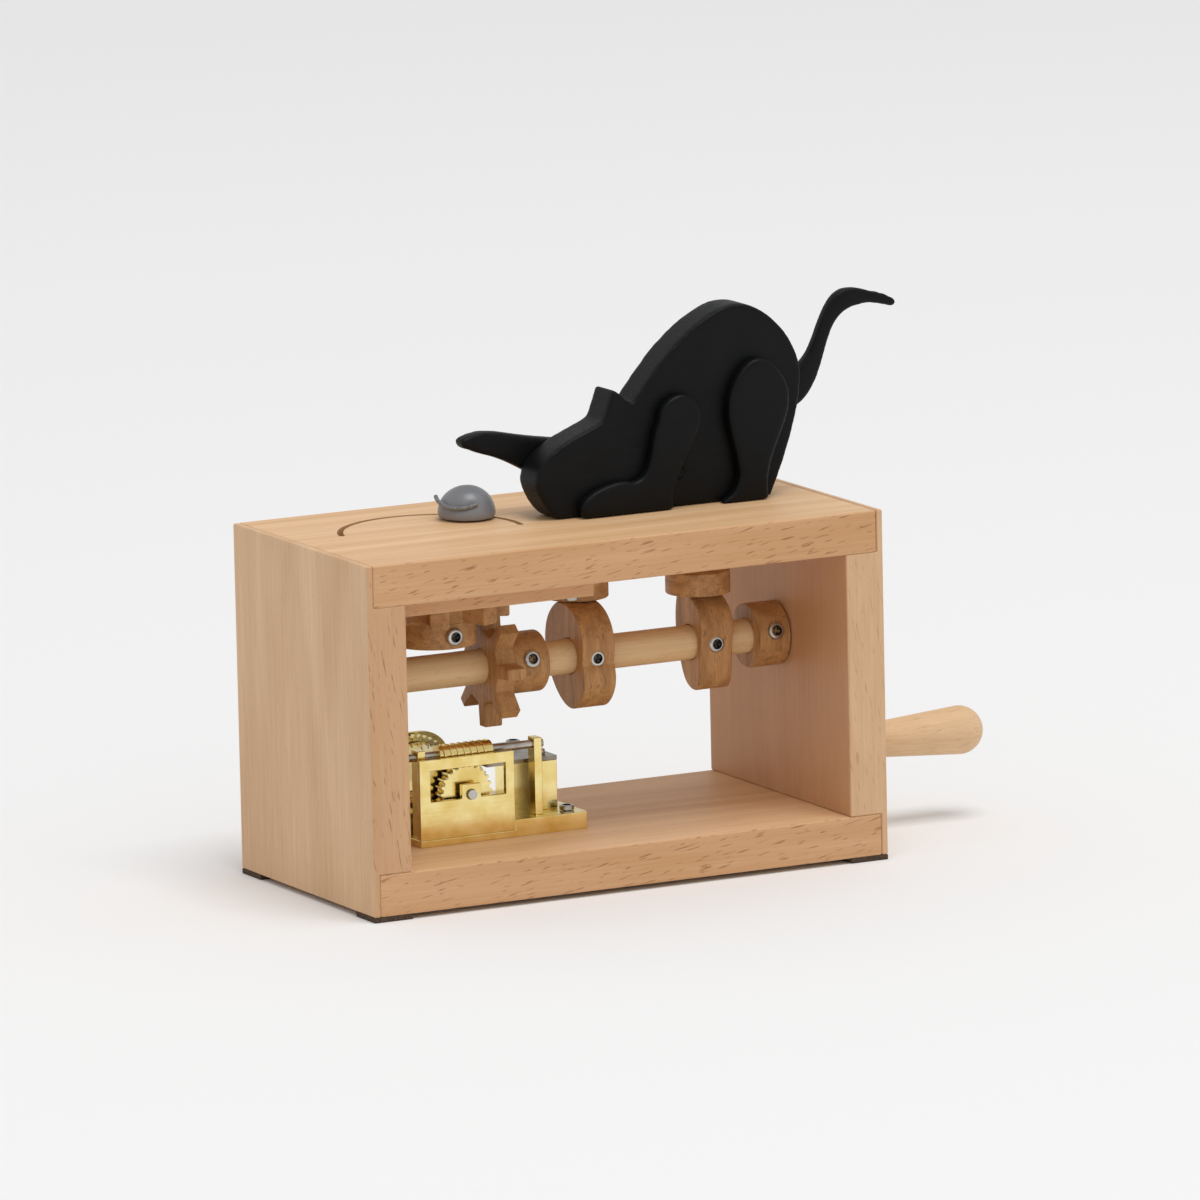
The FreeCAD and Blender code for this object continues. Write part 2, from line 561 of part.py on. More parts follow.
def make_cat():
    top = size("box_height")
    body = extruded("cat_blank", "XZ_Plane", cat_body_outline(), "dims.body_thick", at(0, body_far, top))
    tail_slot = loop([(99, 14.8), (133, 9.3), (166, 5.4), (166, 44), (134, 31.4), (99, 27.2)])
    slot_width = size("tail_thick") + 2 * size("side_gap")
    slot = extruded("tail_slot", "XZ_Plane", tail_slot, "dims.tail_thick + 2 * dims.side_gap",
                    at(0, slot_width / 2, top))
    rod_hole = rod("body_rod_hole", "dims.tail_rod_radius + dims.running_gap", "dims.tail_pivot_z",
                   at(size("tail_rod_x"), 0, top))
    shoulder = at(size("paw_pivot_x"), -body_far, top + size("paw_pivot_z"))
    shoulder_hole = rod("shoulder_hole", "dims.paw_pin_radius + dims.seat_gap", "dims.body_thick", shoulder,
                        ALONG_Y)
    hip_depth = size("body_thick") - 1.5
    hip = at(size("tail_pivot_x"), body_far - hip_depth, top + size("tail_pivot_z"))
    hip_hole = rod("hip_hole", "dims.tail_pin_radius + dims.seat_gap", str(hip_depth), hip, ALONG_Y)
    openings = [slot, rod_hole, shoulder_hole, hip_hole] + dowel_holes("body_dowel_hole")
    keep("cat_body", cut("cat_body", body, openings))
    dowels = [rod(f"cat_dowel_{x}", "dims.dowel_radius", str(DOWEL_LENGTH), dowel_foot(x))
              for x in DOWEL_PLACES]
    keep("cat_dowels", grouped("cat_dowels", dowels))
    keep("near_foreleg", extruded("near_foreleg", "XZ_Plane", foreleg_outline(), "dims.leg_thick",
                                  at(0, -body_far, top)))
    keep("near_hind_leg", extruded("near_hind_leg", "XZ_Plane", hind_leg_outline(), "dims.leg_thick",
                                   at(0, -body_far, top)))
    keep("far_hind_leg", extruded("far_hind_leg", "XZ_Plane", hind_leg_outline(), "dims.leg_thick",
                                  at(0, body_far + size("leg_thick"), top)))
    paw_back = paw_y + size("paw_thick") / 2
    keep("shoulder_pin", rod("shoulder_pin", "dims.paw_pin_radius",
                             "dims.body_thick + dims.side_gap + dims.paw_thick", shoulder, ALONG_Y))
    keep("tail_pivot_pin", rod("tail_pivot_pin", "dims.tail_pin_radius", str(hip_depth), hip, ALONG_Y))
    make_paw(paw_back, top)
    make_tail(top)


def make_paw(paw_back, top):
    x, z, heel = size("paw_pivot_x"), size("paw_pivot_z"), size("paw_heel")
    slope = heel_slope("paw_fall", x - size("paw_rod_x"))
    inner, outer = 5, x - 81
    near_heel = (x - inner, z - heel + inner * slope)
    far_heel = (x - outer, z - heel + outer * slope)
    boss = math.hypot(inner, near_heel[1] - z)
    tip = (55.4, 23.4)
    outline = [line(far_heel, near_heel), arc(near_heel, (x + boss, z), (x, z + boss)),
               curve((x, z + boss), (95, 19.8), (73.3, 23.4), (60.5, 25), tip),
               curve(tip, (57, 21.4), (65, 17.9), (76.3, 12.4), far_heel)]
    blank = extruded("paw_blank", "XZ_Plane", outline, "dims.paw_thick", at(0, paw_back, top))
    hole = rod("paw_pin_hole", "dims.paw_pin_radius + dims.running_gap", "dims.paw_thick",
               at(x, paw_back - size("paw_thick"), top + z), ALONG_Y)
    keep("raised_paw", cut("raised_paw", blank, [hole]))


def make_tail(top):
    x, z, heel = size("tail_pivot_x"), size("tail_pivot_z"), size("tail_heel")
    slope = heel_slope("tail_fall", size("tail_rod_x") - x)
    reach = 29.4
    heel_end = (x + reach, z - heel + reach * slope)
    tip = (192.1, 51.7)
    outline = [line((x, z - heel), heel_end),
               curve(heel_end, (150, 21.6), (161.5, 26.4), (168, 38), (174.5, 50.2), (183.9, 52.3), tip),
               curve(tip, (183.5, 55.8), (174, 56.6), (168.8, 50.9), (161.7, 37.6), (150, 32.2),
                     (x + reach, 29.4)),
               line((x + reach, 29.4), (x, z + heel)), arc((x, z + heel), (x - heel, z), (x, z - heel))]
    blank = extruded("tail_blank", "XZ_Plane", outline, "dims.tail_thick", at(0, size("tail_thick") / 2, top))
    hole = rod("tail_pin_hole", "dims.tail_pin_radius + dims.running_gap", "dims.tail_thick",
               at(x, -size("tail_thick") / 2, top + z), ALONG_Y)
    keep("tail", cut("tail", blank, [hole]))


# Musical movement: brass frame, pinned cylinder, worm drive and steel comb
def make_movement_frame():
    x, front, depth = size("bed_x"), size("bed_front"), size("bed_depth")
    plate = box("bed_plate", "dims.bed_length", "dims.bed_depth", "dims.bed_thick", at(x, front, base_top))
    flange = box("bed_flange", "dims.bed_x + dims.bed_length - dims.flange_x", "dims.bed_depth",
                 "dims.flange_thick", at(size("flange_x"), front, base_top))
    screw_x = x + size("bed_length") - size("bed_screw_end")
    side = size("bed_screw_side")
    seats = [at(screw_x, y, base_top + size("flange_thick")) for y in (front + side, front + depth - side)]
    shank = size("flange_thick") + 5
    holes = [screw_hole(f"bed_hole_{index}", seat, UP, shank) for index, seat in enumerate(seats)]
    keep("movement_bedplate", cut("movement_bedplate", joined("bed_blank", [plate, flange]), holes))
    screws = [screw(f"bed_screw_{index}", seat, UP, size("flange_thick") - size("side_gap"))
              for index, seat in enumerate(seats)]
    keep("bedplate_screws", grouped("bedplate_screws", screws))
    floor = base_top + size("bed_thick")
    wall = size("plate_height") - size("bed_thick")
    arbor_x = size("cylinder_x")
    face = box("front_face", "dims.plate_width", "dims.plate_thick", str(wall), at(x, front, floor))
    sill = cylinder_z - 1
    window = box("front_window", "dims.window_width", "dims.plate_thick", "dims.window_height",
                 at(arbor_x - size("window_width") / 2 - 1, front, sill))
    lug = box("front_lug", "dims.lug_width", "dims.plate_thick", "dims.lug_height",
              at(arbor_x - size("lug_width") / 2, front, sill - 1))
    bearing = rod("front_bearing", "dims.arbor_radius + dims.running_gap", "dims.plate_thick",
                  at(arbor_x, front, cylinder_z), ALONG_Y)
    framed = joined("front_framed", [cut("front_opened", face, [window]), lug])
    keep("movement_front_plate", cut("movement_front_plate", framed, [bearing]))
    rear_y = front + depth - size("plate_thick")
    rear = box("rear_face", "dims.plate_width", "dims.plate_thick", str(wall), at(x, rear_y, floor))
    rear_bearing = rod("rear_bearing", "dims.arbor_radius + dims.running_gap", "dims.plate_thick",
                       at(arbor_x, rear_y, cylinder_z), ALONG_Y)
    keep("movement_rear_plate", cut("movement_rear_plate", rear, [rear_bearing]))
    brackets = []
    half = size("bracket_width") / 2
    posts = [(x + 1, floor), (size("bracket_x"), base_top + size("flange_thick"))]
    for index, (post_x, foot) in enumerate(posts):
        post = box(f"bracket_post_{index}", "dims.bracket_thick", "dims.bracket_width",
                   str(worm_z + half - foot), at(post_x, size("worm_y") - half, foot))
        eye = rod(f"bracket_eye_{index}", "dims.worm_shaft_radius + dims.running_gap", "dims.bracket_thick",
                  at(post_x, size("worm_y"), worm_z), ALONG_X)
        brackets.append(cut(f"bracket_{index}", post, [eye]))
    keep("worm_brackets", grouped("worm_brackets", brackets))


def make_cylinder():
    x, front, length, radius = (size("cylinder_x"), size("cylinder_front"), size("cylinder_length"),
                                size("cylinder_radius"))
    barrel = rod("barrel", "dims.cylinder_radius", "dims.cylinder_length", at(x, front, cylinder_z), ALONG_Y)
    bore = rod("barrel_bore", "dims.arbor_radius + dims.seat_gap", "dims.cylinder_length",
               at(x, front, cylinder_z), ALONG_Y)
    pins = []
    thickness = size("music_pin_thick")
    for row in range(COMB_TEETH):
        y = front + length * (row + 0.5) / COMB_TEETH
        for step in range(PINS_PER_ROW):
            angle = row * 137.5 + step * (120 + row * 17)
            pin = bind(doc.addObject("Part::Box", f"music_pin_{row}_{step}"), Length="dims.music_pin + 0.5",
                       Width=str(thickness), Height=str(thickness))
            radial = Rotation(ALONG_Y, angle)
            corner = radial.multVec(Vector(radius - 0.5, -thickness / 2, -thickness / 2))
            pin.Placement = Placement(at(x, y, cylinder_z) + corner, radial)
            pins.append(pin)
    keep("cylinder", cut("cylinder", joined("pinned_barrel", [barrel] + pins), [bore]))
    arbor_front = size("bed_front") - 1
    arbor_length = size("bed_depth") + 2
    keep("cylinder_arbor", rod("cylinder_arbor", "dims.arbor_radius", str(arbor_length),
                               at(x, arbor_front, cylinder_z), ALONG_Y))
    wheel_y = size("worm_y") + size("worm_wheel_thick") / 2
    make_arbor_wheel("worm_wheel", WORM_WHEEL_TEETH, "worm_wheel_tip", "dims.worm_wheel_thick", wheel_y, 0.9)
    great_y = front + length + 1 + size("great_wheel_thick")
    make_arbor_wheel("great_wheel", GREAT_WHEEL_TEETH, "great_wheel_tip", "dims.great_wheel_thick",
                     great_y, 0.7)


def make_arbor_wheel(label, teeth, tip, thickness, back_y, depth):
    pitch = 360 / teeth
    radius = size(tip)
    outline = toothed(teeth, radius - depth, radius, 0.32 * pitch, 0.12 * pitch)
    place = at(size("cylinder_x"), back_y, cylinder_z)
    blank = extruded(label + "_blank", "XZ_Plane", outline, thickness, place)
    bore = rod(label + "_bore", "dims.arbor_radius + dims.seat_gap", thickness, place, TO_FRONT)
    keep(label, cut(label, blank, [bore]))


def make_worm_drive():
    y = size("worm_y")
    start = size("board") + size("worm_end_gap")
    end = size("bracket_x") + size("bracket_thick") + size("worm_overhang")
    shaft = rod("worm_spindle", "dims.worm_shaft_radius", str(end - start), at(start, y, worm_z), ALONG_X)
    worm = rod("worm_core", "dims.worm_radius", "dims.worm_length",
               at(size("cylinder_x") - size("worm_length") / 2, y, worm_z), ALONG_X)
    keep("worm_shaft", joined("worm_shaft", [shaft, worm]))
    drop, across = worm_z - shaft_z, y
    centres = math.hypot(drop, across)
    module = 2 * centres / sum(SPUR_TEETH)
    facing = math.degrees(math.atan2(drop, across))
    gear_pitch, pinion_pitch = (360 / teeth for teeth in SPUR_TEETH)
    gear_radius, pinion_radius = (module * teeth / 2 for teeth in SPUR_TEETH)
    addendum, dedendum = 0.75 * module, 1.05 * module
    gear = extruded("camshaft_gear_blank", "YZ_Plane",
                    toothed(SPUR_TEETH[0], gear_radius - dedendum, gear_radius + addendum, 0.31 * gear_pitch,
                            0.1 * gear_pitch, facing + gear_pitch / 2),
                    "dims.spur_thick", at(size("spur_x"), 0, shaft_z))
    keep("camshaft_gear", cut("camshaft_gear", gear,
                              [shaft_hole("camshaft_gear_bore", size("spur_x"), "dims.spur_thick")]))
    pinion = extruded("worm_pinion_blank", "YZ_Plane",
                      toothed(SPUR_TEETH[1], pinion_radius - dedendum, pinion_radius + addendum,
                              0.31 * pinion_pitch, 0.1 * pinion_pitch, facing + 180),
                      "dims.spur_thick", at(size("spur_x"), y, worm_z))
    bore = rod("worm_pinion_bore", "dims.worm_shaft_radius + dims.seat_gap", "dims.spur_thick",
               at(size("spur_x"), y, worm_z), ALONG_X)
    keep("worm_pinion", cut("worm_pinion", pinion, [bore]))


def make_comb():
    front, length = size("cylinder_front"), size("cylinder_length")
    under = base_top + size("comb_height")
    tip, post_x = size("comb_tip_x"), size("comb_post_x")
    plate = box("comb_plate", "dims.comb_end_x - dims.comb_tip_x", "dims.cylinder_length", "dims.comb_thick",
                at(tip, front, under))
    gaps = []
    for index in range(1, COMB_TEETH):
        y = front + length * index / COMB_TEETH - size("comb_tooth_gap") / 2
        reach = 9 + 4 * index / COMB_TEETH
        gaps.append(box(f"comb_gap_{index}", str(reach), "dims.comb_tooth_gap", "dims.comb_thick",
                        at(tip, y, under)))
    screw_x = (post_x + size("comb_end_x")) / 2
    seats = [at(screw_x, front + length * share, under + size("comb_thick")) for share in (0.2, 0.8)]
    shank = size("comb_thick") + 4
    comb_holes = [screw_hole(f"comb_hole_{index}", seat, UP, shank) for index, seat in enumerate(seats)]
    keep("comb", cut("comb", plate, gaps + comb_holes))
    post_foot = base_top + size("flange_thick")
    post = box("comb_post_blank", "dims.comb_end_x - dims.comb_post_x", "dims.cylinder_length",
               str(under - post_foot), at(post_x, front, post_foot))
    post_holes = [screw_hole(f"comb_post_hole_{index}", seat, UP, shank) for index, seat in enumerate(seats)]
    keep("comb_post", cut("comb_post", post, post_holes))
    screws = [screw(f"comb_screw_{index}", seat, UP, shank - size("side_gap"))
              for index, seat in enumerate(seats)]
    keep("comb_screws", grouped("comb_screws", screws))


make_case()
make_tray()
make_camshaft()
make_crank()
make_mouse_drive()
make_followers()
make_cat()
make_movement_frame()
make_cylinder()
make_worm_drive()
make_comb()
doc.recompute()

failed = [item.Name for item in doc.Objects if {"Invalid", "Error"} & set(item.State)]
failed += [piece.Label for piece in parts if piece.Shape.isNull() or not piece.Shape.isValid()]
if failed:
    raise RuntimeError("failed features: " + ", ".join(failed))

os.makedirs("parts", exist_ok=True)
for piece in parts:
    piece.Shape.exportStep(f"parts/{piece.Label}.step")
print(len(parts), "sub-parts written")
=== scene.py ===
import json
import math

import bpy
from mathutils import Matrix, Vector


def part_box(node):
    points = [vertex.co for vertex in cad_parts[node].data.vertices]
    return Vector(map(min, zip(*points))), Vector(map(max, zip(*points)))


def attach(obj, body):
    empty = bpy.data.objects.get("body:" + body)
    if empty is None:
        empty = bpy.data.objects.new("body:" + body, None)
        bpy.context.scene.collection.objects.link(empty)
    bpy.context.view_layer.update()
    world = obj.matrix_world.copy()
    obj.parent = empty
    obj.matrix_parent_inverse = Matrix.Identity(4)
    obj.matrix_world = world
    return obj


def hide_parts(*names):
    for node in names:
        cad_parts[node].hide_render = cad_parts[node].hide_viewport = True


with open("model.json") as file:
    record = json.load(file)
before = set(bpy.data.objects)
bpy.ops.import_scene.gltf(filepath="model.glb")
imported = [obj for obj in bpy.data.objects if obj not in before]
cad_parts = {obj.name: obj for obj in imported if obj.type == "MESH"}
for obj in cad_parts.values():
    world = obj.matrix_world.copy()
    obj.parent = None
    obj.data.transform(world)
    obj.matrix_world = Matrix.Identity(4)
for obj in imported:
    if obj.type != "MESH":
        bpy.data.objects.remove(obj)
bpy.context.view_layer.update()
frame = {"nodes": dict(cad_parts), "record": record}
nodes = frame["nodes"]
record = frame["record"]
bodyOf = {node: body for body, members in record["behaviour"]["bodies"].items() for node in members}
slotOf = {part["node"]: part["material_slot"] for part in record["subparts"]}
mm = 0.001
hair = 0.01 * mm  # points nearer than this count as level
crease = 40  # degrees, a sharper edge isn't shaded smooth
alongX, alongY, alongZ = 0, 1, 2
print("frame loaded:", len(nodes), "pieces")


def srgb(hexCode):
    channels = [int(hexCode[start:start + 2], 16) / 255 for start in (1, 3, 5)]
    return [c / 12.92 if c <= 0.04045 else ((c + 0.055) / 1.055) ** 2.4 for c in channels] + [1.0]


def addNode(tree, kind, settings=None, links=None):
    node = tree.nodes.new(kind)
    for key, value in (settings or {}).items():
        if key == "stops":  # colour ramp stops, as place and colour
            ramp = node.color_ramp
            while len(ramp.elements) < len(value):
                ramp.elements.new(1.0)
            for element, (place, colour) in zip(ramp.elements, value):
                element.position = place
                element.color = colour
        elif isinstance(key, str) and hasattr(node, key):
            setattr(node, key, value)
        else:
            node.inputs[key].default_value = value
    for key, output in (links or {}).items():
        tree.links.new(output, node.inputs[key])
    return node


def newMaterial(name, settings):
    material = bpy.data.materials.new(name)
    material.use_nodes = True
    tree = material.node_tree
    shader = tree.nodes["Principled BSDF"]
    for socket, value in settings.items():
        shader.inputs[socket].default_value = value
    return material, tree, shader


# Beech, planed and oiled: fine streaks along the grain, soft bands from year rings and, mostly on the front
# and back edges, short dark ray flecks. Lengths are in millimetres along and across the grain, the flecks
# lie some degrees off it, and each share says how much of the edge or fleck colour shows on such a face.
# the share for faces turned to the left is painted shade: such faces take on the edge colour as if in shade
beechBoard = {
    "dark": "#d3a473", "light": "#edc79c", "edge": "#b97f50", "edgeShare": 0.42, "leftShadeShare": 0.0,
    "fleck": "#8d5526", "fleckShare": 0.6, "flatShare": 0.08, "fleckSize": (6.2, 0.56), "fleckTilt": 10,
    "fleckFrom": 0.63, "fleckBlur": 0.06, "streak": (42, 0.6), "band": (170, 10), "bandShare": 0.55,
    "tones": (0.34, 0.66), "rough": (0.58, 0.44), "bump": 0.10, "relief": 0.3,
}
# Side panels: the same beech standing on end, less bright and with broad soft bands
beechPanel = dict(beechBoard, dark="#cda47a", light="#e2bd96", edgeShare=0.34, fleckShare=0.55,
                  streak=(30, 0.9), band=(80, 20))
# Right panel: an even front edge, and painted shade on the face to the left, which is its inner one: it is
# darkened toward the edge colour as if dim inside the case
rightPanel = dict(beechPanel, edgeShare=0.1, fleckShare=0.28, leftShadeShare=0.58)
# Steamed beech of cams and gears: brown and close-grained, with short flecks on every face
steamedBeech = dict(beechBoard, dark="#9c7042", light="#cc9a64", fleck="#66401d", fleckShare=0.45,
                    flatShare=0.35, edgeShare=0.0, streak=(14, 0.4), band=(34, 3))
# Planed dowel: pale and straight in the grain, with hardly a fleck
paleDowel = dict(beechBoard, dark="#d9b27e", light="#ebcb9c", fleck="#b58850", fleckShare=0.2,
                 flatShare=0.2, edgeShare=0.0)
# Turned beech: a little paler than the panels, with faint flecks all round
turnedBeech = dict(beechBoard, dark="#d3ab7f", light="#e8c79f", fleckShare=0.22, flatShare=0.22,
                   edgeShare=0.0, streak=(24, 0.6))


def makeWood(name, look, grain):
    def stretched(lengths):
        return [lengths[0] * mm if axis == grain else lengths[1] * mm for axis in range(3)]

    def perLength(lengths):
        return [1 / length for length in stretched(lengths)]

    material, tree, shader = newMaterial(name, {"IOR": 1.5, "Specular IOR Level": 0.35})
    coords = addNode(tree, "ShaderNodeTexCoord")
    place = coords.outputs["Object"]
    streakPlace = addNode(tree, "ShaderNodeMapping", {"Scale": perLength(look["streak"])}, {"Vector": place})
    streaks = addNode(tree, "ShaderNodeTexNoise",
                      {"Scale": 1.0, "Detail": 5.0, "Roughness": 0.62, "Distortion": 0.25},
                      {"Vector": streakPlace.outputs[0]})
    bandPlace = addNode(tree, "ShaderNodeMapping", {"Scale": perLength(look["band"])}, {"Vector": place})
    bands = addNode(tree, "ShaderNodeTexNoise", {"Scale": 1.0, "Detail": 2.0, "Distortion": 0.8},
                    {"Vector": bandPlace.outputs[0]})
    figure = addNode(tree, "ShaderNodeMix", {"Factor": look["bandShare"]},
                     {"A": streaks.outputs[0], "B": bands.outputs[0]})
    darkAt, lightAt = look["tones"]
    tone = addNode(tree, "ShaderNodeValToRGB",
                   {"stops": [(darkAt, srgb(look["dark"])), (lightAt, srgb(look["light"]))]},
                   {"Fac": figure.outputs[0]})
    fleckPlace = addNode(tree, "ShaderNodeMapping",
                         {"vector_type": "TEXTURE", "Rotation": (0, -math.radians(look["fleckTilt"]), 0),
                          "Scale": stretched(look["fleckSize"])}, {"Vector": place})
    fleckNoise = addNode(tree, "ShaderNodeTexNoise", {"Scale": 1.0, "Detail": 1.0, "Distortion": 0.0},
                         {"Vector": fleckPlace.outputs[0]})
    flecks = addNode(tree, "ShaderNodeMapRange",
                     {"interpolation_type": "SMOOTHSTEP", "From Min": look["fleckFrom"],
                      "From Max": look["fleckFrom"] + look["fleckBlur"]}, {"Value": fleckNoise.outputs[0]})
    facing = addNode(tree, "ShaderNodeSeparateXYZ", None, {0: coords.outputs["Normal"]})
    front = addNode(tree, "ShaderNodeMath", {"operation": "ABSOLUTE"}, {0: facing.outputs["Y"]})
    share = addNode(tree, "ShaderNodeMapRange", {"To Min": look["flatShare"], "To Max": look["fleckShare"]},
                    {"Value": front.outputs[0]})
    shown = addNode(tree, "ShaderNodeMath", {"operation": "MULTIPLY"},
                    {0: flecks.outputs[0], 1: share.outputs[0]})
    sawn = addNode(tree, "ShaderNodeMath", {"operation": "MULTIPLY", 1: look["edgeShare"]},
                   {0: front.outputs[0]})
    # painted shade: faces turned to the left are mixed toward the edge colour, up to the left shade share
    left = addNode(tree, "ShaderNodeMapRange",
                   {"From Min": 0.0, "From Max": -1.0, "To Min": 0.0, "To Max": look["leftShadeShare"]},
                   {"Value": facing.outputs["X"]})
    edgeToneAndShade = addNode(tree, "ShaderNodeMath", {"operation": "ADD"}, {0: sawn.outputs[0], 1: left.outputs[0]})
    edgedAndShaded = addNode(tree, "ShaderNodeMix", {"data_type": "RGBA", "B": srgb(look["edge"])},
                    {"Factor": edgeToneAndShade.outputs[0], "A": tone.outputs[0]})
    colour = addNode(tree, "ShaderNodeMix", {"data_type": "RGBA", "B": srgb(look["fleck"])},
                     {"Factor": shown.outputs[0], "A": edgedAndShaded.outputs["Result"]})
    tree.links.new(colour.outputs["Result"], shader.inputs["Base Color"])
    polish = addNode(tree, "ShaderNodeMapRange", {"To Min": look["rough"][0], "To Max": look["rough"][1]},
                     {"Value": streaks.outputs[0]})
    tree.links.new(polish.outputs[0], shader.inputs["Roughness"])
    relief = addNode(tree, "ShaderNodeMath", {"operation": "SUBTRACT"},
                     {0: streaks.outputs[0], 1: shown.outputs[0]})
    bump = addNode(tree, "ShaderNodeBump", {"Strength": look["bump"], "Distance": look["relief"] * mm},
                   {"Height": relief.outputs[0]})
    tree.links.new(bump.outputs[0], shader.inputs["Normal"])
    return material


# Brushed paint on wood: one even colour with faint brush lines, a little duller where the brush dragged.
# Lengths are in millimetres: a brush line along and across, and the width of a cloudy patch.
blackPaint = {
    "light": "#0e0f11", "dark": "#08090a", "cloud": 14, "brush": (9, 0.5), "spread": (0.3, 0.7),
    "rough": (0.38, 0.54), "gloss": 0.16, "bump": 0.08, "relief": 0.2,
}
# Grey paint: laid on thicker, so it is smoother and shines more than the black
greyPaint = dict(blackPaint, light="#8b8d92", dark="#76777b", brush=(5, 0.4), rough=(0.26, 0.38), gloss=0.5,
                 bump=0.06)


def makePaint(name, look):
    material, tree, shader = newMaterial(name, {"IOR": 1.5, "Specular IOR Level": look["gloss"]})
    place = addNode(tree, "ShaderNodeTexCoord").outputs["Object"]
    length, width = (size * mm for size in look["brush"])
    low, high = look["spread"]
    lines = addNode(tree, "ShaderNodeMapping", {"Scale": (1 / length, 1 / width, 1 / width)},
                    {"Vector": place})
    brush = addNode(tree, "ShaderNodeTexNoise", {"Scale": 1.0, "Detail": 3.0, "Distortion": 0.3},
                    {"Vector": lines.outputs[0]})
    cloud = addNode(tree, "ShaderNodeTexNoise", {"Scale": 1 / (look["cloud"] * mm), "Detail": 3.0},
                    {"Vector": place})
    tone = addNode(tree, "ShaderNodeValToRGB",
                   {"stops": [(low, srgb(look["dark"])), (high, srgb(look["light"]))]},
                   {"Fac": cloud.outputs[0]})
    tree.links.new(tone.outputs[0], shader.inputs["Base Color"])
    dull = addNode(tree, "ShaderNodeMapRange",
                   {"From Min": low, "From Max": high,
                    "To Min": look["rough"][0], "To Max": look["rough"][1]},
                   {"Value": brush.outputs[0]})
    tree.links.new(dull.outputs[0], shader.inputs["Roughness"])
    bump = addNode(tree, "ShaderNodeBump", {"Strength": look["bump"], "Distance": look["relief"] * mm},
                   {"Height": brush.outputs[0]})
    tree.links.new(bump.outputs[0], shader.inputs["Normal"])
    return material


# Rolled brass: a warm sheen with fine lines from the rolling, drawn at 0.3 mm so that they show, and cloudy
# tarnish. Lengths are in millimetres: a line along and across, and the width of a cloudy patch.
rolledBrass = {
    "light": "#fbe9a6", "dark": "#eccf7c", "tones": (0.35, 0.62), "cloud": 7, "line": (12, 0.3),
    "spread": (0.3, 0.7), "rough": (0.14, 0.26), "bump": 0.03, "relief": 0.1,
}
# Bright steel: a pale grey, duller than the brass
brightSteel = dict(rolledBrass, light="#c9c7c2", dark="#a5a19a", cloud=5, line=(8, 0.3), rough=(0.22, 0.36),
                   bump=0.04)
# Tempered spring steel of the comb: a browner, deeper grey
combSteel = dict(brightSteel, light="#a39a8c", dark="#857b6d")
# Painted shade in the screws' recess: the steel there is made dark and dull, so that the cross reads dark as
# if in shade
recessShadeSteel = dict(brightSteel, light="#544e47", dark="#38332e", rough=(0.4, 0.55))


def makeMetal(name, look):
    material, tree, shader = newMaterial(name, {"Metallic": 1.0})
    place = addNode(tree, "ShaderNodeTexCoord").outputs["Object"]
    length, width = (size * mm for size in look["line"])
    low, high = look["spread"]
    darkAt, lightAt = look["tones"]
    rolled = addNode(tree, "ShaderNodeMapping", {"Scale": (1 / length, 1 / width, 1 / width)},
                     {"Vector": place})
    lines = addNode(tree, "ShaderNodeTexNoise", {"Scale": 1.0, "Detail": 3.0}, {"Vector": rolled.outputs[0]})
    cloud = addNode(tree, "ShaderNodeTexNoise", {"Scale": 1 / (look["cloud"] * mm), "Detail": 4.0},
                    {"Vector": place})
    tone = addNode(tree, "ShaderNodeValToRGB",
                   {"stops": [(darkAt, srgb(look["dark"])), (lightAt, srgb(look["light"]))]},
                   {"Fac": cloud.outputs[0]})
    tree.links.new(tone.outputs[0], shader.inputs["Base Color"])
    dull = addNode(tree, "ShaderNodeMapRange",
                   {"From Min": low, "From Max": high,
                    "To Min": look["rough"][0], "To Max": look["rough"][1]},
                   {"Value": lines.outputs[0]})
    tree.links.new(dull.outputs[0], shader.inputs["Roughness"])
    bump = addNode(tree, "ShaderNodeBump", {"Strength": look["bump"], "Distance": look["relief"] * mm},
                   {"Height": lines.outputs[0]})
    tree.links.new(bump.outputs[0], shader.inputs["Normal"])
    return material


# Wool felt under the case: matted and quite without shine, with a grain in millimetres
brownFelt = {"light": "#5a4636", "dark": "#3d2f25", "tones": (0.35, 0.65), "grain": 0.7, "rough": 0.95,
             "bump": 0.5, "relief": 0.3}
# Waxed leather of the mouse's tail: grey and finer, with a soft shine
waxedThong = dict(brownFelt, light="#868686", dark="#636364", grain=0.5, rough=0.5, bump=0.2)


def makeSoft(name, look):
    material, tree, shader = newMaterial(name, {"IOR": 1.45, "Roughness": look["rough"]})
    place = addNode(tree, "ShaderNodeTexCoord").outputs["Object"]
    darkAt, lightAt = look["tones"]
    grain = addNode(tree, "ShaderNodeTexNoise", {"Scale": 1 / (look["grain"] * mm), "Detail": 4.0},
                    {"Vector": place})
    tone = addNode(tree, "ShaderNodeValToRGB",
                   {"stops": [(darkAt, srgb(look["dark"])), (lightAt, srgb(look["light"]))]},
                   {"Fac": grain.outputs[0]})
    tree.links.new(tone.outputs[0], shader.inputs["Base Color"])
    bump = addNode(tree, "ShaderNodeBump", {"Strength": look["bump"], "Distance": look["relief"] * mm},
                   {"Height": grain.outputs[0]})
    tree.links.new(bump.outputs[0], shader.inputs["Normal"])
    return material


